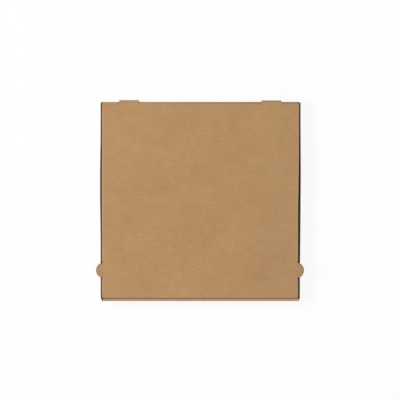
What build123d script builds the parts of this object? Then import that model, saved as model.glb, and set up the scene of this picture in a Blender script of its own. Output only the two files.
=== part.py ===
from build123d import *
import os
from math import hypot, pi, radians, sqrt, tan

# A pizza box of corrugated board, closed. The real one is a single sheet, cut by a die,
# creased and folded. It is two pieces here, because the lid swings on the crease along
# the top of the rear wall: the tray (base, four walls, corner flaps) and the lid.
#
# X runs from left to right, the front faces -Y and Z points up. The origin is the middle
# of the base's underside. Lengths are in millimetres.

# The board
board = 1.4                 # thickness of the E-flute board
crease_radius = 0.4         # inside radius of a fold
layer_gap = 0.1             # air between two layers that lie on each other
corner_relief = 0.3         # cut back from a crossing fold at a corner
kerf = 0.4                  # width of a cut that leaves both its sides standing
liner = 0.2                 # each of the board's two flat face sheets
flute_paper = 0.2           # the wavy sheet between them
flute_pitch = 3.4           # from one flute to the next
flute_crest = 0.68          # width of the flat crest where a flute meets its liner
mouth_depth = 3.0           # how far the open flutes are cut into a side wall's top edge

# The closed box over its outer faces, without ears and tabs
box_width = 330.0
box_depth = 328.0
box_height = 40.0

# How the lid sits in the tray
side_gap = 1.3              # from a side wall to the lid's side flap
front_gap = 0.6             # from the rolled front wall to the lid's front flap
rest_gap = 0.2              # from the side walls' top edges up to the lid's ears
hinge_gap = 0.1             # between the two sides of the hinge crease
hinge_stub = 0.2            # straight board below the hinge fold, on the lid's side

# The flaps' free ends
flap_taper = 9.0            # how much an end narrows
flap_taper_length = 22.0    # over this length
flap_corner = 6.0           # radius of the free corners

# The tray's corner flaps and the rolled front's inner panel
front_corner_flap = 62.0    # length, tucked inside the rolled front wall
rear_corner_flap = 42.0     # length, tucked inside the rear wall; in the flat sheet it ends
                            # before the lid's side flap begins
rear_corner_drop = 8.0      # from the lid's top down to the rear corner flaps
inner_panel_taper = 3.0     # how much each end of the inner panel leans in towards the base

# The lock tabs that go down through the base
lock_width = 40.0
lock_spacing = 160.0        # between the middles of the two tabs
lock_clearance = 0.3        # round a tab in its slot
lock_lift = 0.2             # from the underside of the base up to a tab's end

# The lid's flaps
side_flap_height = 30.0
front_flap_height = 29.0
front_flap_lean = 3.0       # degrees inwards, which clears the front wall as the lid lifts
side_flap_front_gap = 10.0  # from the lid's front fold to the side flaps
side_flap_rear_gap = 5.0    # from the rear corner flaps to the side flaps

# The round ears that stay level with the lid and rest on the side walls
ear_radius = 13.0
ear_inset = 3.3             # from the lid's side edge in to an ear's centre
ear_from_front = 50.7       # from the front wall's outer face
ear_relief_radius = 0.9     # hole at each end of an ear's cut

# The two tabs that stay level with the lid behind the hinge crease
tab_root_width = 34.3
tab_tip_width = 31.2
tab_reach = 3.0             # beyond the rear wall's outer face
tab_spacing = 234.6         # between the middles of the two tabs
tab_slit = 5.8              # from the rear face forwards, at both sides of a tab

# What follows from those sizes
fold_mid = crease_radius + board / 2
fold_outer = crease_radius + board
fold_length = fold_mid * pi / 2
layer_pitch = board + layer_gap
wall_top = box_height - board - rest_gap
front_face = -box_depth / 2
rear_face = box_depth / 2
side_face = box_width / 2
inner_panel_front = front_face + 2 * layer_pitch
panel_half = side_face - fold_outer - corner_relief
lid_half = side_face - board - side_gap
lid_front = inner_panel_front + board + front_gap
hinge_bottom = box_height - fold_outer - hinge_stub
past = 1.0                  # how far a cutting shape runs past what it cuts
above = box_height + past
below = -past


def folded(mid_line, plane, reach):
    """Board bent along mid_line with a rounded fold at each corner, reach each way."""
    path = FilletPolyline(*mid_line, radius=fold_mid)
    return extrude(plane * trace(path, line_width=board), amount=reach, both=True)


def outline(corners, plane, reach):
    """A flat shape, reach each way of its plane. Each corner is a point and its radius."""
    points = [point for point, radius in corners]
    radii = [radius for point, radius in corners]
    edge = FilletPolyline(*points, radius=radii, close=True)
    return extrude(plane * make_face(edge), amount=reach, both=True)


def block(x, y, z):
    """A block between two values along each axis."""
    size = (x[1] - x[0], y[1] - y[0], z[1] - z[0])
    return Pos(sum(x) / 2, sum(y) / 2, sum(z) / 2) * Box(*size)


def corner_flap(length, top):
    """The left wall's front corner, folded round into a flap that lies along the front."""
    wall_mid = -side_face + board / 2
    flap_mid = front_face + layer_pitch + board / 2
    tip = -side_face + length
    bend = [(wall_mid, flap_mid + 2 * fold_mid), (wall_mid, flap_mid), (tip, flap_mid)]
    low = layer_pitch
    strip = folded(bend, Plane.XY.offset((low + wall_top) / 2), (wall_top - low) / 2)
    step = -side_face + fold_outer
    shape = [
        ((-side_face - past, low), 0),
        ((tip - flap_taper_length, low), 0),
        ((tip, low + flap_taper), flap_corner),
        ((tip, top - flap_taper), flap_corner),
        ((tip - flap_taper_length, top), 0),
        ((step, top), 0),
        ((step, above), 0),
        ((-side_face - past, above), 0),
    ]
    return strip & outline(shape, Plane.XZ, box_depth)


def flute_mouths(wall_mid, reach):
    """The open flutes in a side wall's top edge, which lie against its two liners by turns.

    The flutes run from side to side in the flat sheet, so they stand upright in these walls.
    Seen from above each mouth is a trapezoid: wide at its liner, narrow at the flute's crest.
    The slanted paper between two mouths is thicker along the wall than it is across itself.
    """
    core = board / 2 - liner
    crest = flute_crest / 2
    depth = 2 * core - flute_paper
    web = flute_paper * hypot(depth, flute_pitch / 2 - flute_crest) / depth
    wide = crest + (flute_pitch / 2 - 2 * crest - web) * depth / (depth - flute_paper)
    bottom = Plane.XY.offset(wall_top - mouth_depth)
    last = int(2 * reach / flute_pitch) - 1
    mouths = []
    for step in range(-last, last + 1):
        y = step * flute_pitch / 2
        side = 1 if step % 2 else -1
        at_liner = wall_mid + side * core
        at_crest = wall_mid - side * (core - flute_paper)
        edge = Polyline(
            (at_liner, y - wide),
            (at_liner, y + wide),
            (at_crest, y + crest),
            (at_crest, y - crest),
            close=True,
        )
        mouths.append(extrude(bottom * make_face(edge), amount=2 * mouth_depth))
    return mouths


def lock_shape(x, clearance, z):
    """A lock tab through the base, or with a clearance the slot that it goes through."""
    half = lock_width / 2 + clearance
    y = (inner_panel_front - clearance, inner_panel_front + board + clearance)
    return block((x - half, x + half), y, z)


def tab_notch(x):
    """The gap in the rear wall that a rear tab was cut from, and turns down into.

    In the flat sheet the tab lies in it, so it is as deep as the tab is long past the fold.
    """
    root = tab_root_width / 2 + kerf
    tip = tab_tip_width / 2 + kerf
    fold_end = box_height - fold_outer
    floor = fold_end - (fold_outer + tab_reach - fold_length) - kerf
    shape = [
        ((x - root, above), 0),
        ((x - root, fold_end), 0),
        ((x - tip, floor), 0),
        ((x + tip, floor), 0),
        ((x + root, fold_end), 0),
        ((x + root, above), 0),
    ]
    wall = Plane.XZ.offset(board / 2 - rear_face)
    return outline(shape, wall, layer_pitch / 2)


def make_tray():
    wall_mid = side_face - board / 2
    base_mid = board / 2
    sides = [(-wall_mid, wall_top), (-wall_mid, base_mid), (wall_mid, base_mid), (wall_mid, wall_top)]
    reach = rear_face - layer_pitch - fold_outer
    tray = folded(sides, Plane.XZ, reach)

    roll = wall_top - board / 2
    outer = front_face + board / 2
    inner = inner_panel_front + board / 2
    rear = rear_face - board / 2
    front_to_rear = [
        (inner, layer_pitch),
        (inner, roll),
        (outer, roll),
        (outer, base_mid),
        (rear, base_mid),
        (rear, hinge_bottom - hinge_gap),
    ]
    tray += folded(front_to_rear, Plane.YZ, panel_half)
    for side in (-1, 1):
        wedge = Polyline(
            (side * panel_half, wall_top - fold_outer),
            (side * panel_half, board),
            (side * (panel_half - inner_panel_taper), board),
            close=True,
        )
        middle = Plane.XZ.offset(-inner)
        tray -= extrude(middle * make_face(wedge), amount=layer_pitch / 2, both=True)

    roll_underside = wall_top - board
    front = corner_flap(front_corner_flap, roll_underside - layer_gap)
    rear_flap = mirror(corner_flap(rear_corner_flap, box_height - rear_corner_drop), Plane.XZ)
    for flap in (front, rear_flap):
        tray += flap
        tray += mirror(flap, Plane.YZ)

    for x in (-lock_spacing / 2, lock_spacing / 2):
        tray -= lock_shape(x, lock_clearance, (below, board + layer_gap / 2))
        tray += lock_shape(x, 0, (lock_lift, fold_outer))
    for x in (-tab_spacing / 2, tab_spacing / 2):
        tray -= tab_notch(x)
    return tray - (flute_mouths(wall_mid, reach) + flute_mouths(-wall_mid, reach))


def make_lid():
    z_mid = box_height - board / 2
    root = box_height - fold_outer

    low = box_height - front_flap_height
    lean = (front_flap_height - board / 2) * tan(radians(front_flap_lean))
    hinge_mid = rear_face - board / 2
    front_mid = lid_front + board / 2
    rear_to_front = [
        (hinge_mid, hinge_bottom),
        (hinge_mid, z_mid),
        (front_mid, z_mid),
        (front_mid + lean, low),
    ]
    half = lid_half - fold_outer - corner_relief
    front_shape = [
        ((-half, above), 0),
        ((-half, root), 0),
        ((-half + flap_taper, low), flap_corner),
        ((half - flap_taper, low), flap_corner),
        ((half, root), 0),
        ((half, above), 0),
    ]
    lid = folded(rear_to_front, Plane.YZ, half) & outline(front_shape, Plane.XZ, box_depth)

    low = box_height - side_flap_height
    side_mid = lid_half - board / 2
    sides = [(-side_mid, low), (-side_mid, z_mid), (side_mid, z_mid), (side_mid, low)]
    start = lid_front + side_flap_front_gap
    end = rear_face - 2 * layer_pitch - side_flap_rear_gap
    side_shape = [
        ((start, above), 0),
        ((start, root), 0),
        ((start + flap_taper, low), flap_corner),
        ((end - flap_taper, low), flap_corner),
        ((end, root), 0),
        ((end, above), 0),
    ]
    lid += folded(sides, Plane.XZ, box_depth) & outline(side_shape, Plane.YZ, box_width)
    panel_length = (lid_front + fold_outer, rear_face - fold_outer)
    lid += block((-side_mid, side_mid), panel_length, (box_height - board, box_height))
    return with_tabs(with_ears(lid))


def with_ears(lid):
    """Keep the two ears flat, cut out of the side flaps below them.

    The knife's circle is one round in the flat sheet, so the flap's part of it is centred as
    high above the flap as the ear's centre lies from it along the sheet, over the fold.
    """
    ear_y = front_face + ear_from_front
    half_chord = sqrt(ear_radius**2 - ear_inset**2)
    centre_height = box_height - fold_outer + fold_length + ear_inset - fold_outer
    for side in (-1, 1):
        edge = side * lid_half
        opening = Rot(0, 90, 0) * Cylinder(ear_radius + kerf, 2 * fold_outer)
        lid -= Pos(edge, ear_y, centre_height) * opening
        lid += Pos(edge - side * ear_inset, ear_y, box_height - board / 2) * Cylinder(ear_radius, board)
        for end in (-1, 1):
            hole = Cylinder(ear_relief_radius, 2 * fold_outer + board)
            lid -= Pos(edge - side * board / 2, ear_y + end * half_chord, box_height) * hole
    return lid


def with_tabs(lid):
    """Keep the two rear tabs flat, between slits across the hinge fold."""
    start = rear_face - tab_slit
    root = tab_root_width / 2
    tip = tab_tip_width / 2
    for x in (-tab_spacing / 2, tab_spacing / 2):
        lid -= block((x - root - kerf, x + root + kerf), (start, rear_face + past), (0, above))
        shape = [
            ((x - root, start - board), 0),
            ((x + root, start - board), 0),
            ((x + root, rear_face), 0),
            ((x + tip, rear_face + tab_reach), board / 2),
            ((x - tip, rear_face + tab_reach), board / 2),
            ((x - root, rear_face), 0),
        ]
        lid += outline(shape, Plane.XY.offset(box_height - board / 2), board / 2)
    return lid


os.makedirs("parts", exist_ok=True)
export_step(make_tray(), "parts/tray.step")
export_step(make_lid(), "parts/lid.step")
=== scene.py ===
# %% [markdown]
# A pizza box of brown corrugated board, closed, seen straight from above.
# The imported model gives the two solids, tray and lid, and the crease that the lid turns on. They are
# plain board. Here the same folded sheet is made again as the real one is built up: two flat papers,
# the liners, with a wavy paper, the fluting, between them. The solids then only carry the motion.

import bmesh
import bpy
import numpy as np
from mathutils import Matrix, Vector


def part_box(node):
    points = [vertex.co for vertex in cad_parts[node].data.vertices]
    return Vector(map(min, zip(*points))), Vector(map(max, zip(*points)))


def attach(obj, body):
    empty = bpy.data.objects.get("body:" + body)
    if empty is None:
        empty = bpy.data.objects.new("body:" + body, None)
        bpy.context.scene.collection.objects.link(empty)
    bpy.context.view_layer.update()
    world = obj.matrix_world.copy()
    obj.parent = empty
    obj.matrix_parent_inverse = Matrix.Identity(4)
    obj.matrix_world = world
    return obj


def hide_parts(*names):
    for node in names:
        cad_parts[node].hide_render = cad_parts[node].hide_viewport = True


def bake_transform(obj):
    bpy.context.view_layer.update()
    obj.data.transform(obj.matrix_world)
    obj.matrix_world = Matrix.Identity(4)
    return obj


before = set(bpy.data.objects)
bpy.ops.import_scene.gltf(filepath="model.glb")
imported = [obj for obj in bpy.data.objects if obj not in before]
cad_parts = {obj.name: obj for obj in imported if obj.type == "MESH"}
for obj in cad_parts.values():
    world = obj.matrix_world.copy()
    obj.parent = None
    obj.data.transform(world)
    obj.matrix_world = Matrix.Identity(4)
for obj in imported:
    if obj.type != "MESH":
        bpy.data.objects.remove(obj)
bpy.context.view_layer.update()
tray_low, tray_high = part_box("tray")
_, lid_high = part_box("lid")

# %% [markdown]
# The sizes. The box's outer size comes from the solids, so this sheet always fits them. The rest is
# the board and the cut, in millimetres, as a box maker's drawing would give it. Only the last step
# turns a mesh into metres.

# %% Sizes
mm = 0.001
hair = 0.001                # two places closer than this are the same

box_width = round((tray_high.x - tray_low.x) / mm, 3)
box_depth = round((tray_high.y - tray_low.y) / mm, 3)
box_height = round(lid_high.z / mm, 3)

board = 1.4                 # thickness of the whole board
liner = 0.2                 # each flat paper
flute_paper = 0.2           # the wavy paper
flute_pitch = 3.4           # from one flute to the next
glue = 0.005                # between the wave and a liner
fold_mid = 1.1              # radius of a fold, at the middle of the board
layer_pitch = 1.5           # from one layer to the next where two lie on each other
corner_relief = 0.3         # cut back from a crossing fold at a corner
wall_top = 38.4             # cut top edge of the side walls
side_gap = 1.3              # from a side wall to the lid's side flap
front_gap = 0.6             # from the rolled front wall to the lid's front flap

side_face = box_width / 2
rear_face = box_depth / 2
fold_outer = fold_mid + board / 2
rear_mid = rear_face - board / 2
front_mid = -rear_mid
panel_mid = -rear_face + 2 * layer_pitch + board / 2
lid_mid = box_height - board / 2
lid_front_mid = panel_mid + board + front_gap
wall_mid = side_face - board / 2
lid_side_mid = side_face - board - side_gap - board / 2
print("box", box_width, "by", box_depth, "by", box_height, "mm")

# %% [markdown]
# A folded sheet seen from its edge is a line of straight runs and small arcs. It could be bent by
# hand or by a modifier. A function does it better: it takes a length along the flat sheet and gives
# the place in the folded one. Every layer can then be drawn flat, with its true lengths, and folded
# by the same line with its own offset.


# %% A folded line
def folded_line(corners, radius):
    """Straight runs joined by arcs, through corner points.

    An arc takes radius * tan(turn / 2) from the runs beside it and is radius * turn long. For each
    run and arc the line keeps where it starts along the sheet, its start point, its heading, and
    its curvature, which is 1 / radius to the left, minus that to the right, and 0 on a straight run.
    """
    legs = np.diff(np.array(corners, float), axis=0)
    headings = np.unwrap(np.arctan2(legs[:, 1], legs[:, 0]))
    turns = np.diff(headings)
    trims = np.concatenate([[0], radius * np.tan(np.abs(turns) / 2), [0]])
    lengths = np.zeros(2 * len(legs) - 1)
    lengths[0::2] = np.hypot(legs[:, 0], legs[:, 1]) - trims[:-1] - trims[1:]
    lengths[1::2] = radius * np.abs(turns)
    curvatures = np.zeros(len(lengths))
    curvatures[1::2] = turns / lengths[1::2]
    heads = np.repeat(headings, 2)[: len(lengths)]
    middles = heads + curvatures * lengths / 2
    chords = lengths * np.sinc(curvatures * lengths / 2 / np.pi)
    moves = np.stack([chords * np.cos(middles), chords * np.sin(middles)], axis=1)
    points = np.array(corners[0], float) + np.concatenate([[[0, 0]], np.cumsum(moves, axis=0)[:-1]])
    starts = np.concatenate([[0], np.cumsum(lengths)[:-1]])
    return {"starts": starts, "points": points, "heads": heads, "curvatures": curvatures}


def on_line(line, along, offset=0.0):
    """Points at a length along a folded line, moved off it to the right of its heading.

    From a piece's start, a length t with curvature k turns by k * t, and its chord is
    t * sin(k t / 2) / (k t / 2) long and heads along the middle of that turn.
    """
    piece = np.clip(np.searchsorted(line["starts"], along, side="right") - 1, 0, None)
    t = along - line["starts"][piece]
    half_turn = line["curvatures"][piece] * t / 2
    heading = line["heads"][piece]
    chord = t * np.sinc(half_turn / np.pi)
    first = line["points"][piece, 0] + chord * np.cos(heading + half_turn)
    second = line["points"][piece, 1] + chord * np.sin(heading + half_turn)
    turned = heading + 2 * half_turn
    return first + offset * np.sin(turned), second - offset * np.cos(turned)


print("a square fold is", round(fold_mid * np.pi / 2, 2), "mm long at the middle of the board")

# %% [markdown]
# The box's long run goes through the whole sheet from front to rear: the inner front panel, the roll
# on top of the front wall, the front wall, the base, the rear wall, the hinge crease, the lid's panel
# and its front flap. Lengths along it are called u, with u = 0 in the middle of the base, and v runs
# across it, the same as X. The wavy paper's flutes lie along v.

# %% The run from front to rear
front_flap_end = 11.0       # height of the front flap's lower edge
front_flap_lean = 3.0       # degrees inwards
lean = (lid_mid - front_flap_end) * np.tan(np.radians(front_flap_lean))
roll_mid = wall_top - board / 2

run = folded_line(
    [
        (panel_mid, layer_pitch),
        (panel_mid, roll_mid),
        (front_mid, roll_mid),
        (front_mid, board / 2),
        (rear_mid, board / 2),
        (rear_mid, lid_mid),
        (lid_front_mid, lid_mid),
        (lid_front_mid + lean, front_flap_end),
    ],
    fold_mid,
)
base_start = run["starts"][6]
run["starts"] = run["starts"] - (base_start - (front_mid + fold_mid))
panel_foot, roll_back, _, roll_front, _, front_fold = run["starts"][:6]
base_front, base_rear, rear_wall, hinge, lid_rear, lid_fold, front_flap = run["starts"][6:]
flap_foot = front_flap + (lid_mid - fold_mid - front_flap_end) / np.cos(np.radians(front_flap_lean))
run_folds = (run["starts"][1::2] + run["starts"][2::2]) / 2


def up_rear_wall(z):
    """u at a height on the rear wall."""
    return rear_wall + z - (board / 2 + fold_mid)


def on_lid(y):
    """u at a place on the lid's panel."""
    return lid_rear + (rear_mid - fold_mid) - y


print("sheet is", round(flap_foot - panel_foot), "mm long, base from u", round(base_front, 1))

# %% [markdown]
# Three more folded lines turn up what stands at the sides: the tray's side walls, seen from the
# front, their corner flaps, seen from above, and the lid's side flaps. Each line is the right half,
# and the left half is its mirror image.

# %% The folds at the sides
side_flap_end = 10.0        # height of the side flaps' lower edge
corner_flap_mid = rear_face - layer_pitch - board / 2

tray_side = folded_line([(0, board / 2), (wall_mid, board / 2), (wall_mid, wall_top)], fold_mid)
tray_corner = folded_line([(wall_mid, 0), (wall_mid, corner_flap_mid), (0, corner_flap_mid)], fold_mid)
lid_side = folded_line([(0, lid_mid), (lid_side_mid, lid_mid), (lid_side_mid, side_flap_end)], fold_mid)

wall_fold, wall_foot = tray_side["starts"][1:]
corner_fold, corner_end = tray_corner["starts"][1:]
lid_edge, side_flap = lid_side["starts"][1:]
wall_head = wall_foot + wall_top - (board / 2 + fold_mid)
side_flap_foot = side_flap + (lid_mid - fold_mid) - side_flap_end


def up_side_wall(z):
    """v at a height on a side wall or a corner flap."""
    return wall_foot + z - (board / 2 + fold_mid)


print("wall folds at v", round(wall_fold, 2), "corner folds at u", round(corner_fold, 2))

# %% [markdown]
# Some cuts shape two panels at once. The knife cuts each round ear out of a side flap and each rear
# tab out of the rear wall. So the flap keeps a round gap and the wall a notch, of the same outline and
# a knife's width larger.

# %% Cuts that two panels share
kerf = 0.4                  # width of a cut that leaves both its sides standing
ear_radius = 13.3
ear_from_front = 50.7       # from the front wall's outer face to an ear's centre
ear_inset = 3.6             # from the lid's side edge in to an ear's centre
tab_middle = 117.3          # from the sheet's middle line to the middle of a tab
tab_root = 17.15            # half a tab's width at the crease
tab_tip = 15.6              # half its width at its end
tab_reach = 3.0             # beyond the rear wall's outer face
tab_slit = 5.8              # from the rear face forwards, at both sides of a tab

ear_u = on_lid(-rear_face + ear_from_front)
ear_v = lid_side_mid + board / 2 - ear_inset
tab_end = on_lid(rear_face + tab_reach)
slit_end = on_lid(rear_face - tab_slit)
notch_floor = tab_end - kerf


def notch_half(u):
    """Half a notch's width: the tab's, from its end to the crease, and a knife's width."""
    return np.interp(u, [notch_floor, hinge], [tab_tip, tab_root]) + kerf


print("notches go down to", round(float(on_line(run, notch_floor)[1]), 2), "mm")

# %% [markdown]
# Hands fold such a box, and damp air moves it, so no panel is quite true. In the photograph the side
# walls lean in by a few tenths of a millimetre and bulge out behind the middle. The right one leans in
# by over a millimetre at the front, where the base is a bit narrower too. A lattice or sculpting could
# bend a finished mesh. Smooth functions of place, added to every layer alike, keep the papers together.


# %% Slack of the tray
def hump(y, middle, length, power=2):
    """A smooth hump of height 1: exp(-|(y - middle) / length| to the power). 2 is round, 3 flatter."""
    return np.exp(-(np.abs((y - middle) / length) ** power))


def waver(t, shift):
    """A small irregular wave between about -1 and 1: three sines whose lengths share no factor."""
    waves = np.sin(t / 23 + shift) + 0.6 * np.sin(t / 9.7 + 2 * shift) + 0.4 * np.sin(t / 4.1 + 3 * shift)
    return waves / 2


def up_wall(z):
    """Share of the way up a side wall: 0 at the base, so that the seam stays closed, and 1 at the top."""
    return np.clip((z - board) / (wall_top - board), 0, 1)


def wall_bow(side, y, z):
    """How far a side wall stands out at a height.

    That is nothing at its foot and most at its cut top edge, where it stands upright again: the sine
    of a quarter turn over its height. Along the wall it is a steady lean, a few humps and a waver, and
    the front corners are pressed round by a short hump.
    """
    left = -0.5 + 0.85 * hump(y, 26, 66, 3) - 0.15 * hump(y, -130, 15)
    right = -0.1 + 0.5 * hump(y, 52, 50) - 0.95 * hump(y, -155, 80)
    front_corner = 2.1 * hump(y, -rear_face, 3.8)
    left, right = left - front_corner, right - 0.6 * front_corner
    height = np.sin(up_wall(z) * np.pi / 2)
    return (np.where(side < 0, left, right) + 0.07 * waver(y, 1.3 + side)) * height


def draw_base(x, y):
    """Make the tray narrower towards its front right corner, by up to 0.4 mm.

    It is a hump along y times the square of the share of the way to the right side.
    """
    return x - 0.4 * hump(y, -165, 75) * np.clip(x / side_face, 0, 1) ** 2


def settle_wall(x, y, z, side):
    """Lean the side walls: x moves outwards by their bow.

    Past the rear wall's ends, which begin 2.2 mm inside the side faces, the rear corners move
    backwards by 0.95 mm on the way up, so that they stand out squarely.
    """
    bow = side * wall_bow(side, y, z)
    past_rear_wall = np.clip((np.abs(x) - side_face + 2.2) / 1.2, 0, 1) * np.clip((y - 150) / 12, 0, 1)
    return draw_base(x, y) + bow, y + 0.95 * past_rear_wall * up_wall(z), z


print("walls stand out by up to", round(float(wall_bow(-1, 28, wall_top)), 2), "mm")

# %% [markdown]
# The lid's right edge is drawn in towards the front, its front edge is pressed forwards, and its panel
# sags by a few tenths of a millimetre. The left side flap has sprung out to its wall, which leaves
# little gap. The right one hangs inwards, so that the gap beside it is wide and black.


# %% Slack of the lid
def flap_spring(side, y, z):
    """How far a side flap stands out below its fold.

    The left one goes most of the way to its wall within some 3 mm: 1 - exp(-depth / 3), a bit
    further at the rear. The right one leans in at a steady slope.
    """
    depth = np.clip(lid_mid - fold_mid - z, 0, None)
    share = 0.87 + 0.05 * y / rear_face
    left = share * (side_gap + wall_bow(-1, y, wall_top)) * (1 - np.exp(-depth / 3))
    return np.where(side < 0, left, -0.08 * depth)


def settle_lid(x, y, z):
    """Sag the lid's panel, draw its right edge in towards the front and press its front edge forwards.

    The sag falls off each way as 1 minus the square of the share of the way to the edge. The edges
    are drawn in by the square of the share of the way from 60 to 160 mm off the middle line. The
    press grows evenly from the rear to the front.
    """
    across = np.clip(1 - (x / lid_side_mid) ** 2, 0, 1)
    along = np.clip(1 - (y / (rear_face - 4)) ** 2, 0, 1)
    sag = 0.3 + 0.1 * waver(x + 0.6 * y, 0.7) + 0.12 * waver(1.3 * y - 0.4 * x, 2.1)
    edge = np.clip((np.abs(x) - 60) / 100, 0, 1) ** 2
    right = 0.78 * (1 - np.tanh((y - 26) / 42)) - 0.3
    drawn = np.where(x > 0, right, 0.15) + 0.05 * waver(y, x / 90)
    pressed = (0.3 - 0.2 * (x / lid_side_mid) ** 2) * np.clip(0.5 - y / rear_face / 2, 0, 1)
    return x - np.sign(x) * drawn * edge, y - pressed, z - sag * across * along


print("the lid's middle sags", round(float(-settle_lid(0, 0, 0)[2]), 2), "mm")

# %% [markdown]
# Each panel is drawn flat, as a grid of lines in u and v. A cut that isn't along a grid line is made
# by pressing the v lines of each row between two edges, so that the cut edge follows its curve
# exactly. Slots and slits have their own grid lines, and the cells inside them are left out. The
# liners need few lines, and the wavy paper eight to each flute. Lines across are far apart on the
# tray, which is flat that way, and closer on the lid, which sags.

# %% Grid lines
liner_step = 12.0           # between u lines
flute_step = flute_pitch / 8
tray_across = 45.0          # between v lines
lid_across = 22.0
wall_across = 9.0
flap_across = 8.0


def grid_lines(marks, step):
    """Lines through all the marks, evenly spaced between them and no further apart than step."""
    marks = np.unique(np.round(marks, 5))
    counts = np.maximum(1, np.ceil(np.diff(marks) / step - 1e-6).astype(int))
    parts = [np.linspace(a, b, n, endpoint=False) for a, b, n in zip(marks[:-1], marks[1:], counts)]
    return np.concatenate(parts + [marks[-1:]])


def both_sides(marks):
    """The marks and their mirror images."""
    return np.concatenate([-np.array(marks, float), np.array(marks, float)])


def within(lines, low, high):
    """Which lines lie from low to high, both ends included."""
    return (lines > low - hair) & (lines < high + hair)


print("lines between 0 and 25 at a step of 12:", grid_lines([0, 25], liner_step))

# %% [markdown]
# A panel is such a grid with its cut edges, its fold, and its scuffing with painted highlight and painted
# shade. A cut edge with round corners needs no curve of its own: the arcs of a folded line are such
# corners.


# %% Flat panels
def edge_curve(corners, radius, at):
    """A cut edge with rounded corners, as its second coordinate at places along its first.

    400 points of a folded line are put in order along the first, and values are read between them.
    """
    line = folded_line(corners, radius)
    length = line["starts"][-1] + np.hypot(*(np.array(corners[-1]) - line["points"][-1]))
    first, second = on_line(line, np.linspace(0, length, 400))
    order = np.argsort(first)
    return np.interp(at, first[order], second[order])


def between(low, high):
    """A shape that presses |v| between two edges, each a function of u, alike on both sides."""
    return lambda u, v: np.sign(v) * np.minimum(np.maximum(np.abs(v), low(u)), high(u))


def patch(u, v, fold, scuffs_and_painted_light, keep=None, shape=None):
    """A panel of the flat sheet: u and v at each grid point, and which cells are kept.

    keep is a rule on the cells' middles. shape moves v, and is a function of u and v. fold says how
    the panel is folded: it turns u, v and an offset from the middle of the board into x, y, z.
    scuffs_and_painted_light gives two values, about 0 to 1: how near a point is to a fold, and its painted
    shade.
    """
    uu, vv = np.meshgrid(u, v, indexing="ij")
    cells = np.ones((len(u) - 1, len(v) - 1), bool)
    if keep is not None:
        cells = keep((uu[1:, 1:] + uu[:-1, :-1]) / 2, (vv[1:, 1:] + vv[:-1, :-1]) / 2)
    if shape is not None:
        vv = shape(uu, vv)
    folded, frayed = scuffs_and_painted_light(uu, vv)
    return {"u": uu, "v": vv, "fold": fold, "folded": folded, "frayed": frayed, "cells": cells}


cut_back = edge_curve([(0, 0), (10, 0), (10, 10)], 6, 8.0)
print("2 mm before its end, a 6 mm round corner is cut back", round(float(cut_back), 2), "mm")

# %% [markdown]
# How each kind of panel is folded. The tray's run and the lid's run go through the long line. The
# side walls and the lid's side flaps go through their own lines, and the corner flaps through the one
# seen from above.


# %% Folding rules
def fold_tray_run(u, v, offset):
    """Base, front and rear wall: u goes along the long run, and v is X, drawn in at the front right."""
    y, z = on_line(run, u, offset)
    return draw_base(v, y), y, z


def fold_side_wall(u, v, offset):
    """A side wall: |v| goes along the line seen from the front, u is Y, and then the wall leans."""
    side = np.sign(v)
    x, z = on_line(tray_side, np.abs(v), offset)
    return settle_wall(side * x, u + 0 * v, z, side)


def fold_corner_flap(u, v, offset):
    """A corner flap: |u| goes along the line seen from above, and |v| past the wall's fold is height."""
    side = np.sign(v)
    x, y = on_line(tray_corner, np.abs(u), offset)
    z = board / 2 + fold_mid + np.abs(v) - wall_foot
    return settle_wall(side * x, np.sign(u) * y, z, side)


def fold_lid_run(u, v, offset):
    """The lid's panel and front flap: u goes along the long run, v is X, and then the lid settles."""
    y, z = on_line(run, u, offset)
    return settle_lid(v + 0 * u, y, z)


def fold_side_flap(u, v, offset):
    """A side flap: |v| goes along the lid's side line, and below the fold the flap springs outwards.

    That line turns downwards, so outwards is to its left, and the offset changes its sign.
    """
    side = np.sign(v)
    x, z = on_line(lid_side, np.abs(v), -offset)
    y, _ = on_line(run, u)
    return settle_lid(side * (x + flap_spring(side, y, z)), y, z)


def fold_tab(u, v, offset):
    """A tab isn't folded: the length from the lid's rear edge to u is added to Y, at the lid's height."""
    y = rear_mid - fold_mid + lid_rear - u
    return settle_lid(v + 0 * u, y, lid_mid + offset)


top_x, _, top_z = fold_side_wall(0.0, wall_head, 0.0)
print("the right wall's top folds to x", round(float(top_x), 2), "z", round(float(top_z), 2))

# %% [markdown]
# A fold shows and feels different from flat board: the creasing wheel has crushed it, and its fibres
# are scuffed. Its lighter colour is that scuffing and painted highlight, stronger on the lid's right edge.
# The ears' and tabs' rims, the right wall's top edge and the hinge crease get a darker, greyer colour,
# which is painted shade. Painted wear would be tied to one mesh. These functions give two values at any
# place of the sheet, folded and frayed, which are about 1 in the middle of a fold or at such a rim
# and fall to 0 beside it.

# %% Where the folds are
flap_front_gap = 10.0       # from the lid's front fold to the side flaps
flap_rear_gap = 5.0         # from the rear corner flaps to the side flaps
flap_front_u = on_lid(lid_front_mid - board / 2 + flap_front_gap)
flap_rear_u = on_lid(rear_face - 2 * layer_pitch - flap_rear_gap)


def close(distance, reach=1.3):
    """1 at no distance, falling to nothing in about two reaches: exp(-(distance / reach) squared)."""
    return np.exp(-((distance / reach) ** 2))


def hinge_scuffs_and_painted_light(u, v):
    """The crease: scuffing along its fold, and painted shade, wider and darker to the right, but for the
    tabs.
    """
    off_tab = np.abs(np.abs(v) - tab_middle) > tab_root + kerf / 2
    to_right = np.clip(0.5 + v / side_face / 2, 0, 1)
    # painted shade beside the crease, growing wider and darker to the right
    frayed = (0.1 + 1.3 * to_right**0.6) * close(u - run_folds[4] + 0.6, 1.5 + 0.9 * to_right)
    return 0.3 * close(u - run_folds[4]) * off_tab, frayed * off_tab


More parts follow.
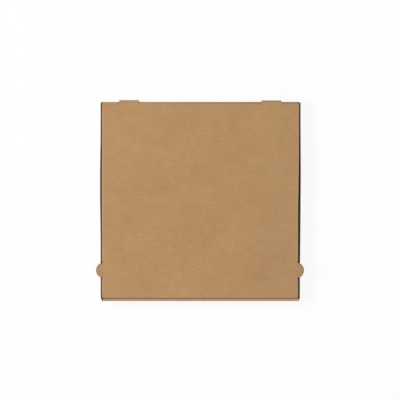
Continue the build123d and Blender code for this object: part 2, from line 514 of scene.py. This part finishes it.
def tray_scuffs_and_painted_light(u, v):
    """The most that any of the tray's folds gives. The right wall's top and the crease get painted shade.
    """
    at_hinge, frayed = hinge_scuffs_and_painted_light(u, v)
    beside_base = within(u, -corner_fold, corner_fold)
    # painted shade along the right wall's cut top edge
    right_top_shade = 1.1 * close(v - wall_head, 1.5) * beside_base
    v = np.abs(v)
    folds = [0.5 * close(u - fold) * within(v, 0, wall_fold) for fold in run_folds[:4]]
    at_wall = close(v - (wall_fold + wall_foot) / 2) * beside_base
    at_corner = close(np.abs(u) - (corner_fold + corner_end) / 2) * (v > wall_foot - 0.5)
    return np.max([*folds, at_wall, at_corner, at_hinge], axis=0), np.maximum(frayed, right_top_shade)


def lid_scuffs_and_painted_light(u, v):
    """The most of the front fold, the crease and the side edges, where a flap hangs and no ear is.

    The lighter colour there is scuffing and painted highlight, half as strong on the left edge as on the
    right.
    """
    at_hinge, frayed = hinge_scuffs_and_painted_light(u, v)
    by_ear = np.clip((np.abs(u - ear_u) - ear_radius) / 0.5, 0, 1)
    # the lighter side edges are scuffing and painted highlight, half as strong on the left
    more = np.where(v < 0, 0.5, 1.0) * by_ear * within(u, flap_rear_u, flap_front_u)
    at_edge = more * close(np.abs(v) - (lid_edge + side_flap) / 2)
    return np.max([0.3 * close(u - run_folds[5]), at_edge, at_hinge], axis=0), frayed


def ear_painted_shade(u, v):
    """An ear gets painted shade by how close a point is to the circle of its rim."""
    off_rim = ear_radius - np.hypot(u - ear_u, np.abs(v) - ear_v)
    return 0 * u, 0.15 + 0.45 * close(off_rim, 3.2)


def tab_painted_shade(u, v):
    """A tab gets painted shade by how close a point is to its end, and the right one more."""
    return 0 * u, 0.12 + np.where(v < 0, 0.35, 0.6) * close(u - tab_end, 2.6)


print("folds cross the long run at u", run_folds.round(1))

# %% [markdown]
# The tray's cuts. The rolled front has two lock tabs at its foot, which go down through slots in the
# base, and its ends are slanted so that it goes in between the side walls.

# %% Tray sizes
panel_half = side_face - fold_outer - corner_relief
panel_taper = 3.0           # how much each end of the inner panel leans in towards the base
lock_half = 20.0
lock_middle = 80.0
lock_clearance = 0.3
lock_drop = 1.3             # from the inner panel's foot to a lock tab's end
hinge_foot = up_rear_wall(37.9)  # where the crease's strip begins
roll_ends = {-1: 160.5, 1: 162.2}  # |x| of the roll's ends: the left one is cut back
roll_cut = [roll_front + 1, roll_front + 3]  # where that cut ends
rear_flap_top = 32.0
front_flap_top = wall_top - layer_pitch
flap_low = layer_pitch
flap_slope = 9.0            # how much a flap's end narrows
flap_radius = 6.0           # of a flap's free corners
flap_taper = 22.0           # length over which a corner flap narrows
corner_tips = {-1: side_face - 62.0, 1: side_face - 42.0}  # |x| where a front and a rear flap end
arc = np.linspace(0, fold_mid * np.pi / 2, 7)  # lines on a square fold
beside_fold = np.array([-3.0, -1.2, arc[-1] + 1.2, arc[-1] + 3.0])  # where its scuffs end


def front_edge(u, side):
    """|v| of the rolled front's end: slanted at the inner panel, cut back at the roll."""
    at = [panel_foot, roll_back, *roll_cut, front_fold]
    ends = [panel_half - panel_taper, roll_ends[side], roll_ends[side], panel_half, wall_fold]
    return np.interp(u, at, ends)


print("slots are", round(2 * (lock_half + lock_clearance), 1), "mm wide")

# %% [markdown]
# A corner flap hangs on its side wall by an upright fold. Near the fold it is as tall as the wall, and
# beyond it lower and tapered. Its edges are pressed, and its round end needs closer lines.


# %% Corner flaps
def corner_patch(side, end, wall_v, step):
    """A corner flap: the wall's column round the fold at full height, then the lower, tapered flap."""
    top = rear_flap_top if end > 0 else front_flap_top
    tip = corner_end + (wall_mid - fold_mid) - corner_tips[end]
    low_v = up_side_wall(flap_low)
    top_v = up_side_wall(top)
    start = tip - flap_taper
    middle = (low_v + top_v) / 2
    corners_low = [(corner_end, low_v), (start, low_v), (tip, low_v + flap_slope), (tip, middle)]
    corners_top = [(corner_end, top_v), (start, top_v), (tip, top_v - flap_slope), (tip, middle)]
    round_end = tip - np.geomspace(0.02, 8, 9)
    u = grid_lines(np.concatenate([corner_fold + arc, [corner_end + 2, start, tip], round_end]), step)
    v = np.concatenate([[low_v], wall_v])

    def low(u):
        """The lower cut edge."""
        return edge_curve(corners_low, flap_radius, np.abs(u))

    def high(u):
        """The wall's top as far as the fold, and the flap's upper cut edge beyond it."""
        top = edge_curve(corners_top, flap_radius, np.abs(u))
        return np.where(np.abs(u) < corner_end + hair, wall_head, top)

    def keep(u, v):
        """All but what would stand above the lower flap."""
        return ~((np.abs(u) > corner_end) & (np.abs(v) > top_v))

    return patch(np.sort(end * u), np.sort(side * v), fold_corner_flap, tray_scuffs_and_painted_light, keep, between(low, high))


print("corner flaps end at |x|", corner_tips)

# %% [markdown]
# The tray's panels. The run is one grid from the lock tabs to the rear wall's notches. The rear wall's
# top strip is in three pieces, because the lid's tabs were cut out between them. The side walls and
# their corner flaps share grid lines with the run, so that the sheet can be welded.


# %% Tray pattern
def tray_patches(step):
    """Every panel of the tray, with u lines no further apart than step."""
    slot_front = panel_mid - board / 2 - lock_clearance
    slot_rear = panel_mid + board / 2 + lock_clearance
    arcs = [start + arc for start in (roll_back, roll_front, front_fold, base_rear)]
    besides = [start + beside_fold for start in (front_fold, base_rear)]
    marks = [panel_foot - lock_drop, panel_foot, roll_back - 2, *roll_cut]
    marks += [-corner_fold, slot_front, slot_rear, corner_fold, notch_floor]
    u = grid_lines(np.concatenate([marks, *arcs, *besides]), step)
    locks = [lock_middle - lock_half, lock_middle + lock_half]
    slots = [locks[0] - lock_clearance, locks[1] + lock_clearance]
    notch = tab_middle + np.array([-1, 1]) * notch_half(notch_floor)
    ends = [panel_half - panel_taper, panel_half, wall_fold]
    v = grid_lines(both_sides([0, *locks, *slots, *notch, *ends]), tray_across)

    def keep(u, v):
        """All but the slots, the corners past both folds, and what isn't a lock tab below the panel."""
        v = np.abs(v)
        in_slot = (u > slot_front) & (u < slot_rear) & (v > slots[0]) & (v < slots[1])
        beyond = (v > panel_half) & (np.abs(u) > corner_fold)
        not_lock = (u < panel_foot) & ((v < locks[0]) | (v > locks[1]))
        return ~(in_slot | beyond | not_lock)

    def shape(u, v):
        """v is held between the rolled front's two ends."""
        return np.clip(v, -front_edge(u, -1), front_edge(u, 1))

    made = [patch(u, v, fold_tray_run, tray_scuffs_and_painted_light, keep, shape)]
    top_u = grid_lines([notch_floor, hinge_foot], step)
    left = within(v, -panel_half, -notch[1])
    middle = within(v, -notch[0], notch[0])
    right = within(v, notch[1], panel_half)
    beside_notch = between(lambda u: tab_middle + notch_half(u), lambda u: panel_half)
    between_notches = between(lambda u: 0, lambda u: tab_middle - notch_half(u))
    for columns, press in ((left, beside_notch), (middle, between_notches), (right, beside_notch)):
        made.append(patch(top_u, v[columns], fold_tray_run, tray_scuffs_and_painted_light, None, press))
    heights = [board / 2 + fold_mid, rear_flap_top, front_flap_top, wall_top - 1.2, wall_top]
    wall_v = grid_lines(up_side_wall(np.array(heights)), wall_across)
    side_u = u[within(u, -corner_fold, corner_fold)]
    for side in (-1, 1):
        side_v = np.unique(np.concatenate([wall_fold + arc, wall_v]).round(5))
        made.append(patch(side_u, np.sort(side * side_v), fold_side_wall, tray_scuffs_and_painted_light))
        for end in (-1, 1):
            made.append(corner_patch(side, end, wall_v, step))
    return made


print("tray pattern has", len(tray_patches(10)), "panels")

# %% [markdown]
# The ears' cuts. The round ears are part of the flat panel: the knife cut them out of the side flaps
# below, so the flap has the same round gap. A small round hole at each end of the cut stops it from
# tearing. A boolean cut would leave ragged faces in thin wavy paper, so the grid is pressed to the
# outlines.

# %% Cuts round the ears
relief_radius = 0.9
relief_from_ear = np.sqrt(ear_radius**2 - ear_inset**2)
lid_half = lid_side_mid + board / 2 - fold_outer - corner_relief
lid_end_half = lid_side_mid + board / 2 - 0.15  # half the lid where it has no side flap
knife_sweep = np.radians(np.linspace(-84, 84, 43))


def relief(u, side):
    """The edge of the relief holes over u, on the ear's side (-1) or the flap's side (1).

    It is half a circle: the root of 1 - (off / radius) squared, times how deep it reaches. Folding
    has pressed the ear's side to half its depth.
    """
    off = np.abs(np.abs(u - ear_u) - relief_from_ear)
    reach = relief_radius if side > 0 else relief_radius / 2
    half = reach * np.sqrt(np.clip(1 - (off / relief_radius) ** 2, 0, None))
    return lid_side_mid + side * half, off < relief_radius - hair


def ear_edge(u):
    """The ear's round edge, a circle about its centre, and at its two ends the holes' near edge."""
    off = np.clip(np.abs(u - ear_u), 0, ear_radius)
    round_edge = ear_v + np.sqrt(ear_radius**2 - off**2)
    hole, in_hole = relief(u, -1)
    hole = np.where(in_hole | (off > relief_from_ear), hole, round_edge)
    return np.maximum(np.minimum(round_edge, hole), lid_edge)


def ear_cut(u):
    """The edge of the gap in the side flap: the ear's circle and a knife's width, and the holes."""
    off = np.clip(np.abs(u - ear_u), 0, ear_radius + kerf)
    gap = np.where(off < ear_radius + kerf, ear_v + np.sqrt((ear_radius + kerf) ** 2 - off**2), lid_edge)
    hole, in_hole = relief(u, 1)
    return np.maximum(np.maximum(gap, np.where(in_hole, hole, lid_edge)), lid_edge)


print("relief holes lie", round(float(relief_from_ear), 2), "mm before and behind an ear's centre")

# %% [markdown]
# The lid's flaps hang from its edges. Their ends slant and their free corners are round, so that they
# go into the tray without catching.


# %% Edges of the lid's flaps
def side_flap_edge(u):
    """The side flap's lower edge, with slanted ends and rounded corners."""
    corners = [
        (flap_rear_u, side_flap),
        (flap_rear_u + flap_slope, side_flap_foot),
        (flap_front_u - flap_slope, side_flap_foot),
        (flap_front_u, side_flap),
    ]
    return edge_curve(corners, flap_radius, u)


def front_flap_edge(u):
    """Half the front flap's width over u: its end slants in and has a round corner."""
    corners = [(front_flap, lid_half), (flap_foot, lid_half - flap_slope), (flap_foot, 0)]
    return np.where(u < front_flap + hair, lid_end_half, edge_curve(corners, flap_radius, u))


print("side flaps are", round(float(side_flap_foot - side_flap), 1), "mm deep")

# %% [markdown]
# The ears and tabs stay level with the lid. They are panels of their own, whose lines follow their
# outlines. Each tab lies between two short slits.


# %% Ears and tabs
def ear_patch(side, u):
    """An ear, from the lid's side edge to its rim. Its second lines are shares of the way to the rim.

    The left ear reaches 1% further and the right one 1% less.
    """
    shares = np.array([0, 0.2, 0.4, 0.55, 0.7, 0.8, 0.88, 0.95, 1])

    def shape(u, share):
        """From the lid's edge, a share of the way to the ear's rim."""
        return side * lid_edge + share * (ear_edge(u) - lid_edge) * (1 - 0.01 * side)

    return patch(u, np.sort(side * shares), fold_lid_run, ear_painted_shade, None, shape)


def tab_patch(side, run_v, step):
    """A rear tab, from the lid's rear edge to its end. The right one has been rubbed shorter.

    Both are bent a little to the left: v moves by the bend times the share of the way to the end.
    """
    middle = side * tab_middle
    root = on_lid(rear_face)
    end = tab_end + (0.5 if side > 0 else 0)
    corners = [(end, 0), (end, tab_tip), (root, tab_root), (lid_rear, tab_root)]
    u = grid_lines([end, *(end + np.geomspace(0.02, 1.2, 6)), root, lid_rear], min(step, 1))
    v = run_v[within(run_v, middle - tab_root, middle + tab_root)]

    def shape(u, v):
        """v is held inside the tab's outline and then moved by the bend."""
        half = edge_curve(corners, board / 2, u)
        bend = (0.25 if side < 0 else 0.55) * np.clip((lid_rear - u) / (lid_rear - end), 0, 1)
        return middle + np.clip(v - middle, -half, half) - bend

    return patch(u, v, fold_tab, tab_painted_shade, None, shape)


print("tabs are", round(2 * tab_tip, 1), "mm wide at their ends")

# %% [markdown]
# The lid's panels: the run from the crease to the front flap's foot, then a side flap, an ear and a tab
# on each side.


# %% Lid pattern
def lid_patches(step):
    """Every panel of the lid, with u lines no further apart than step."""
    front, rear = flap_front_u, flap_rear_u
    knife = ear_u + (ear_radius + kerf / 2) * np.sin(knife_sweep)
    holes = ear_u + both_sides(relief_from_ear + relief_radius * np.array([-1, -0.7, -0.4, 0, 0.4, 0.7, 1]))
    ends = np.concatenate([rear + np.linspace(0, 14, 15), front - np.linspace(0, 14, 15)])
    marks = [lid_rear, lid_rear + 1.2, slit_end, lid_fold - 3, lid_fold - 1.2, front_flap + 1.2]
    foot = flap_foot - np.geomspace(0.02, 8, 8)
    u = grid_lines(np.concatenate([marks, knife, holes, ends, lid_fold + arc, foot, [flap_foot]]), step)
    slits = [tab_middle + side * (tab_root + cut) for side in (-1, 1) for cut in (0, kerf)]
    near_edge = [lid_half - flap_slope, lid_half, lid_edge - 3, lid_edge - 1.2, lid_edge, lid_end_half]
    v = grid_lines(both_sides([0, *slits, *near_edge]), lid_across)

    def keep(u, v):
        """All but the slits, the corners past both folds, and what is past the edge where a flap hangs."""
        v = np.abs(v)
        off_tab = np.abs(v - tab_middle)
        in_slit = (u < slit_end) & (off_tab > tab_root) & (off_tab < tab_root + kerf)
        past_panel = (v > lid_half) & (u > front_flap)
        past_edge = (v > lid_edge) & (u > rear) & (u < front)
        return ~(in_slit | past_panel | past_edge)

    made = [patch(u, v, fold_lid_run, lid_scuffs_and_painted_light, keep, between(lambda u: 0, front_flap_edge))]
    side_u = u[within(u, rear, front)]
    ear_lines = u[np.abs(u - ear_u) < relief_from_ear + 0.4]
    flap_marks = [lid_edge + arc, [side_flap + 1.2, side_flap + 3, side_flap_foot]]
    flap_v = grid_lines(np.concatenate(flap_marks), flap_across)
    flap_shape = between(ear_cut, side_flap_edge)
    for side in (-1, 1):
        made.append(patch(side_u, np.sort(side * flap_v), fold_side_flap, lid_scuffs_and_painted_light, None, flap_shape))
        made.append(ear_patch(side, ear_lines))
        made.append(tab_patch(side, v, step))
    return made


print("lid pattern has", len(lid_patches(10)), "panels")

# %% [markdown]
# The hinge crease is the strip between the rear wall and the lid. On the real box it bends when the
# lid opens, so here it is a piece of its own. It has gaps at the tabs.


# %% Hinge pattern
def hinge_patches(step):
    """The crease in three strips, left, middle and right of the two tabs."""
    gap = [tab_middle - tab_root - kerf, tab_middle + tab_root + kerf]
    u = grid_lines(np.concatenate([[hinge_foot], hinge + np.linspace(0, lid_rear - hinge, 11)]), step)
    v = grid_lines(both_sides([0, *gap, lid_half]), lid_across)

    def keep(u, v):
        """All but the two tabs."""
        return (np.abs(v) < gap[0]) | (np.abs(v) > gap[1])

    return [patch(u, v, fold_tray_run, hinge_scuffs_and_painted_light, keep)]


print("the crease bends over", round(float(lid_rear - hinge), 2), "mm of board")

# %% [markdown]
# Three papers from one pattern. The liners lie at both faces of the board and the fluting waves
# between them, 0.4 mm each way. At a fold the creasing wheel has crushed the board from inside, so
# there the inner liner comes closer and the wave is lower. A picture of flutes on plain board would be
# cheaper, but it would look flat where the edges are open.


# %% Papers
def offsets(panel, paper):
    """How far the paper's middle lies from the middle of the board, outwards.

    The liners are at its faces. The fluting is a cosine of u between them, of the height that is left.
    """
    outer = board / 2 - liner / 2
    inner = -outer * (1 - 0.3 * panel["folded"])
    if paper == "outer":
        return outer + 0 * panel["u"]
    if paper == "inner":
        return inner
    height = (outer - inner) / 2 - (liner + flute_paper) / 2 - glue
    return (outer + inner) / 2 + height * np.cos(2 * np.pi * panel["u"] / flute_pitch)


def paper_grids(panels, paper):
    """Each panel with one paper's points and sheet coordinates, in metres."""
    grids = []
    for panel in panels:
        points = panel["fold"](panel["u"], panel["v"], offsets(panel, paper))
        shift = 1.0 if paper == "inner" else 0.0
        sheet = np.stack([panel["v"] * mm + shift, panel["u"] * mm], axis=-1)
        grids.append({**panel, "points": np.stack(points, axis=-1) * mm, "sheet": sheet})
    return grids


print("the wave is", round(board - 2 * liner - flute_paper, 2), "mm high")

# %% [markdown]
# The grids become meshes. Panels that share an edge have the same points there, so merging doubles
# welds them, and no seam is left open. Solidify then gives each paper its thickness and closes its cut
# edges. It is applied at once, so that the mesh holds what is seen. Every paper stays a closed
# shell of its own, as in the real board.


# %% Meshes
def welded_mesh(name, grids):
    """One mesh of all the grids, with the points that meet made one.

    A cell's four points are its grid neighbours. They go round so that the outer face of the board
    is the front of every face.
    """
    counts = [grid["u"].size for grid in grids]
    firsts = np.concatenate([[0], np.cumsum(counts)[:-1]])
    faces = []
    for first, grid in zip(firsts, grids):
        number = first + np.arange(grid["u"].size).reshape(grid["u"].shape)
        square = [number[:-1, :-1], number[1:, :-1], number[1:, 1:], number[:-1, 1:]]
        faces.append(np.stack(square, axis=-1)[grid["cells"]])
    mesh = bpy.data.meshes.new(name)
    points = np.concatenate([grid["points"].reshape(-1, 3) for grid in grids])
    mesh.from_pydata(points, [], np.concatenate(faces).tolist())
    sheet = np.concatenate([grid["sheet"].reshape(-1, 2) for grid in grids])
    corner_points = np.zeros(len(mesh.loops), int)
    mesh.loops.foreach_get("vertex_index", corner_points)
    mesh.uv_layers.new(name="sheet").data.foreach_set("uv", sheet[corner_points].astype(np.float32).ravel())
    for mark_name in ("folded", "frayed"):
        values = np.concatenate([grid[mark_name].ravel() for grid in grids])
        mesh.attributes.new(mark_name, "FLOAT", "POINT").data.foreach_set("value", values.astype(np.float32))
    work = bmesh.new()
    work.from_mesh(mesh)
    bmesh.ops.remove_doubles(work, verts=work.verts, dist=0.002 * mm)
    bmesh.ops.delete(work, geom=[v for v in work.verts if not v.link_faces], context="VERTS")
    work.to_mesh(mesh)
    work.free()
    return mesh


def new_object(name, data):
    """An object in the scene."""
    made = bpy.data.objects.new(name, data)
    bpy.context.scene.collection.objects.link(made)
    return made


def make_paper(name, grids, thickness, material):
    """A paper with its thickness, flat shaded across its cut edges and smooth round its folds."""
    sheet = new_object(name, welded_mesh(name, grids))
    shell = sheet.modifiers.new("thickness", "SOLIDIFY")
    shell.thickness = thickness * mm
    shell.offset = 0
    bpy.context.view_layer.update()
    finished = bpy.data.meshes.new_from_object(sheet.evaluated_get(bpy.context.evaluated_depsgraph_get()))
    sheet.modifiers.clear()
    sheet.data = finished
    finished.name = name
    finished.materials.clear()
    finished.materials.append(material)
    finished.shade_smooth()
    finished.set_sharp_from_angle(angle=np.radians(45))
    triangles = sum(len(face.vertices) - 2 for face in finished.polygons)
    print(name, "has", triangles, "triangles")
    return sheet


# %% [markdown]
# Node materials. One function adds a node, sets its values and links what feeds it. Colours are
# written as on a screen, in hex, and turned into the linear values that the renderer adds up.


# %% Material helpers
def linear(colour):
    """A screen colour such as 'B58E65' as linear red, green, blue and 1, by the usual sRGB curve."""
    screen = np.array([int(colour[i : i + 2], 16) for i in (0, 2, 4)]) / 255
    light = np.where(screen <= 0.04045, screen / 12.92, ((screen + 0.055) / 1.055) ** 2.4)
    return (*light.tolist(), 1.0)


def add(tree, kind, inputs=None, **settings):
    """A new node. Settings are its own values, inputs its sockets' values or the nodes that feed them."""
    made = tree.nodes.new(kind)
    for setting, value in settings.items():
        setattr(made, setting, value)
    for socket, value in (inputs or {}).items():
        if isinstance(value, bpy.types.Node):
            value = value.outputs[0]
        if isinstance(value, bpy.types.NodeSocket):
            tree.links.new(value, made.inputs[socket])
        else:
            made.inputs[socket].default_value = value
    return made


def new_material(name):
    """An empty node material."""
    material = bpy.data.materials.new(name)
    material.use_nodes = True
    material.node_tree.nodes.clear()
    return material, material.node_tree


print("kraft brown is", [round(value, 3) for value in linear("B38B60")[:3]], "in linear light")

# %% [markdown]
# Kraft liner: brown paper of unbleached pine pulp, made on a paper machine and only lightly pressed.
# It has no gloss. The eye sees cloudy patches where the pulp lies thicker, a fine grain of fibres
# that mostly lie along the machine's way, which is across the flutes, and a few dark specks of bark.
# A camera at this distance blurs single fibres, so the grain is drawn about 2 mm coarse. At the
# folds the top fibres are scuffed and lighter, with a painted highlight mixed in. At rims, along the
# right wall's top and at the crease, a darker, greyer colour is painted shade. The flutes show through
# as a faint washboard.


# %% Kraft liner
def kraft_liner():
    """Brown paper: the weighted sum of clouds, patches and grain picks the brown.

    Specks, scuffing with painted highlight, and painted shade are mixed in; the washboard and a fine tooth
    raise it.
    """
    material, tree = new_material("kraft_liner_machine_made")
    sheet = add(tree, "ShaderNodeUVMap", uv_map="sheet")
    in_mm = add(tree, "ShaderNodeVectorMath", {0: sheet, 1: (1000, 1000, 1000)}, operation="MULTIPLY")
    grain_way = add(tree, "ShaderNodeMapping", {"Vector": in_mm, "Scale": (1, 0.8, 1)})
    clouds = add(tree, "ShaderNodeTexNoise", {"Vector": in_mm, "Scale": 1 / 75, "Detail": 2.0})
    patches = add(tree, "ShaderNodeTexNoise", {"Vector": in_mm, "Scale": 1 / 16, "Detail": 2.0})
    grain = {"Vector": grain_way, "Scale": 1 / 2.0, "Detail": 3.0, "Roughness": 0.6}
    grain = add(tree, "ShaderNodeTexNoise", grain)
    tone = -0.475
    for pattern, share in ((clouds, 0.35), (patches, 0.3), (grain, 1.3)):
        tone = add(tree, "ShaderNodeMath", {0: pattern, 1: share, 2: tone}, operation="MULTIPLY_ADD")
    ramp = add(tree, "ShaderNodeValToRGB", {"Fac": tone})
    browns = ramp.color_ramp.elements
    browns[0].color = linear("9E774E")
    browns[1].color = linear("C69F74")
    browns.new(0.5).color = linear("B38B60")
    specks = {"Vector": grain_way, "Scale": 1 / 1.3, "Detail": 1.0, "W": 3.0}
    specks = add(tree, "ShaderNodeTexNoise", specks, noise_dimensions="4D")
    speck = {"Value": specks, "From Min": 0.70, "From Max": 0.76, "To Max": 0.5}
    speck = add(tree, "ShaderNodeMapRange", speck)
    colour = {"Factor": speck, 6: ramp, 7: linear("7A5836")}
    colour = add(tree, "ShaderNodeMix", colour, data_type="RGBA")
    mark_mottle = add(tree, "ShaderNodeTexNoise", {"Vector": in_mm, "Scale": 1 / 1.7, "Detail": 3.0})
    # folded is lighter: scuffing with painted highlight; frayed is darker and greyer: painted shade
    for mark_name, share, look in (("folded", 1.2, "C4A786"), ("frayed", 1.8, "8C745B")):
        near = add(tree, "ShaderNodeAttribute", attribute_name=mark_name)
        near = add(tree, "ShaderNodeMath", {0: near.outputs["Fac"], 1: share}, operation="MULTIPLY")
        mark_share = add(tree, "ShaderNodeMath", {0: near, 1: mark_mottle}, operation="MULTIPLY")
        colour = {"Factor": mark_share, 6: colour.outputs[2], 7: linear(look)}
        colour = add(tree, "ShaderNodeMix", colour, data_type="RGBA")
    split = add(tree, "ShaderNodeSeparateXYZ", {0: in_mm})
    phase = {0: split.outputs["Y"], 1: 2 * np.pi / flute_pitch}
    phase = add(tree, "ShaderNodeMath", phase, operation="MULTIPLY")
    washboard = add(tree, "ShaderNodeMath", {0: phase}, operation="COSINE")
    tooth = {"Vector": in_mm, "Scale": 1 / 0.6, "Detail": 4.0, "Roughness": 0.65}
    tooth = add(tree, "ShaderNodeTexNoise", tooth)
    relief_height = add(tree, "ShaderNodeMath", {0: washboard, 1: 0.25, 2: tooth}, operation="MULTIPLY_ADD")
    bump = add(tree, "ShaderNodeBump", {"Height": relief_height, "Strength": 0.6, "Distance": 0.06 * mm})
    finish = {"Base Color": colour.outputs[2], "Normal": bump, "Roughness": 0.85, "IOR": 1.48}
    shader = add(tree, "ShaderNodeBsdfPrincipled", {**finish, "Specular IOR Level": 0.35})
    add(tree, "ShaderNodeOutputMaterial", {"Surface": shader})
    return material


liner_material = kraft_liner()
print(liner_material.name, "has", len(liner_material.node_tree.nodes), "nodes")

# %% [markdown]
# Fluting: recycled pulp, steamed and pressed into waves between two hot gear rolls. It is darker,
# greyer and more speckled than the liners, partly its own colour and partly painted shade, and shows
# only at cut edges, where the flutes are open.


# %% Fluting paper
def fluting_paper():
    """One noise picks the brown and raises the surface."""
    material, tree = new_material("recycled_fluting_hot_pressed")
    sheet = add(tree, "ShaderNodeUVMap", uv_map="sheet")
    in_mm = add(tree, "ShaderNodeVectorMath", {0: sheet, 1: (1000, 1000, 1000)}, operation="MULTIPLY")
    pulp = {"Vector": in_mm, "Scale": 1 / 1.4, "Detail": 4.0, "Roughness": 0.65}
    pulp = add(tree, "ShaderNodeTexNoise", pulp)
    ramp = add(tree, "ShaderNodeValToRGB", {"Fac": pulp})
    browns = ramp.color_ramp.elements
    # a darker brown than the paper's own: painted shade at the open flute edges
    browns[0].position = 0.25
    browns[0].color = linear("5E4630")
    browns[1].position = 0.75
    browns[1].color = linear("84664A")
    bump = add(tree, "ShaderNodeBump", {"Height": pulp, "Strength": 0.5, "Distance": 0.05 * mm})
    finish = {"Base Color": ramp, "Normal": bump, "Roughness": 0.9, "IOR": 1.48, "Specular IOR Level": 0.3}
    shader = add(tree, "ShaderNodeBsdfPrincipled", finish)
    add(tree, "ShaderNodeOutputMaterial", {"Surface": shader})
    return material


flute_material = fluting_paper()
print(flute_material.name, "has", len(flute_material.node_tree.nodes), "nodes")

# %% [markdown]
# Now the papers themselves. The tray's and the lid's papers each ride on the body of the solid that
# they stand for. The crease's papers stay where they are made, on no body.


# %% Make the board
def make_board(body, patches):
    """The liners and the fluting of one body."""
    flat = patches(liner_step)
    faces = paper_grids(flat, "outer") + paper_grids(flat, "inner")
    liners = make_paper(body + "_liners", faces, liner, liner_material)
    waved = paper_grids(patches(flute_step), "fluting")
    waves = make_paper(body + "_fluting", waved, flute_paper, flute_material)
    return liners, waves


for body, patches in (("tray", tray_patches), ("lid", lid_patches)):
    for paper in make_board(body, patches):
        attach(paper, body)
        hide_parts(body)

for paper in make_board("hinge_crease", hinge_patches):
    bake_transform(paper)

# %% [markdown]
# The stage. The box stands on a pale floor. The camera sees floor and background as white, as in a
# product picture, and the floor still takes a light shadow. Under the box it is plain paper, so that
# no white shines up through the small holes at the base's corners. What lights the box is a soft lamp
# high at its left, whose light falls off a little towards the right, and an even pale sky.

# %% Floor and background
floor_mesh = bpy.data.meshes.new("floor")
reach = 6.0  # half the floor, in metres
under = side_face * mm - 0.002  # half the plain paper, hidden by the box
marks = np.array([-reach, -under, under, reach])
floor_corners = np.stack([*np.meshgrid(marks, marks), np.zeros((4, 4))], axis=-1).reshape(-1, 3)
first = (np.arange(3)[:, None] * 4 + np.arange(3)).reshape(-1, 1)
floor_mesh.from_pydata(floor_corners, [], (first + [0, 1, 5, 4]).tolist())
floor = new_object("floor", floor_mesh)

paper_white = {"Color": (0.95, 0.95, 0.95, 1)}
material, tree = new_material("white_paper_sweep")
sees = add(tree, "ShaderNodeLightPath")
share = add(tree, "ShaderNodeMath", {0: sees.outputs["Is Camera Ray"], 1: 0.9}, operation="MULTIPLY")
matte = add(tree, "ShaderNodeBsdfDiffuse", paper_white)
white = add(tree, "ShaderNodeEmission", {"Color": (1, 1, 1, 1), "Strength": 1.0})
mixed = add(tree, "ShaderNodeMixShader", {0: share, 1: matte, 2: white})
add(tree, "ShaderNodeOutputMaterial", {"Surface": mixed})
floor_mesh.materials.append(material)

material, tree = new_material("paper_under_the_box")
matte = add(tree, "ShaderNodeBsdfDiffuse", paper_white)
add(tree, "ShaderNodeOutputMaterial", {"Surface": matte})
floor_mesh.materials.append(material)
floor_mesh.polygons[4].material_index = 1

world = bpy.data.worlds.new("studio")
world.use_nodes = True
bpy.context.scene.world = world
tree = world.node_tree
tree.nodes.clear()
sky_level = 0.5
sees = add(tree, "ShaderNodeLightPath")
looked_at = sees.outputs["Is Camera Ray"]
for ray in ("Is Glossy Ray", "Is Transmission Ray"):
    looked_at = add(tree, "ShaderNodeMath", {0: looked_at, 1: sees.outputs[ray]}, operation="MAXIMUM")
sky = add(tree, "ShaderNodeBackground", {"Color": (1, 1, 1, 1), "Strength": sky_level})
shown = add(tree, "ShaderNodeBackground", {"Color": (1, 1, 1, 1), "Strength": 1.0})
mixed = add(tree, "ShaderNodeMixShader", {0: looked_at, 1: sky, 2: shown})
add(tree, "ShaderNodeOutputWorld", {"Surface": mixed})
print("sky level", sky_level)

# %% [markdown]
# The lamp. Its power is worked out, not tried: a level white surface should get one part of light in
# all, sky_level of it from the sky and the rest from the lamp. A square lamp of power P sends
# P / pi / distance squared straight ahead, and a level surface takes the sine of the lamp's angle.

# %% Lamp
lamp_height = np.radians(60)
lamp_distance = 2.65
lamp_part = (1 - sky_level) * np.pi
lamp_data = bpy.data.lights.new("soft_lamp", "AREA")
lamp_data.shape = "SQUARE"
lamp_data.size = 0.9
lamp_data.energy = float(lamp_part * np.pi * lamp_distance**2 / np.sin(lamp_height))
lamp = new_object("soft_lamp", lamp_data)
lamp_way = np.radians(171)
level = np.cos(lamp_height)
lamp_from = [level * np.cos(lamp_way), level * np.sin(lamp_way), np.sin(lamp_height)]
lamp.location = lamp_distance * np.array(lamp_from)
lamp.rotation_mode = "QUATERNION"
lamp.rotation_quaternion = lamp.location.to_track_quat("Z", "Y")
print("lamp power", round(lamp_data.energy), "W")

# %% [markdown]
# The camera looks straight down through a long lens, so the walls don't show beside the lid. One
# pixel of the photograph is about 1.65 mm at the lid, and the box's middle lies half a pixel right of
# and one and a half below the picture's, which places the camera.

# %% Camera
picture = 400
pixel = 1.647               # millimetres at the lid
box_middle = (200.45, 201.5)  # pixel in the photograph
camera_distance = 8.0
camera_data = bpy.data.cameras.new("camera")
camera_data.lens = camera_data.sensor_width * camera_distance / (picture * pixel * mm)
camera = new_object("camera", camera_data)
camera.location = (
    -(box_middle[0] - picture / 2) * pixel * mm,
    (box_middle[1] - picture / 2) * pixel * mm,
    box_height * mm + camera_distance,
)
bpy.context.scene.camera = camera
bpy.context.scene.view_settings.view_transform = "Standard"
print("lens", round(camera_data.lens), "mm")
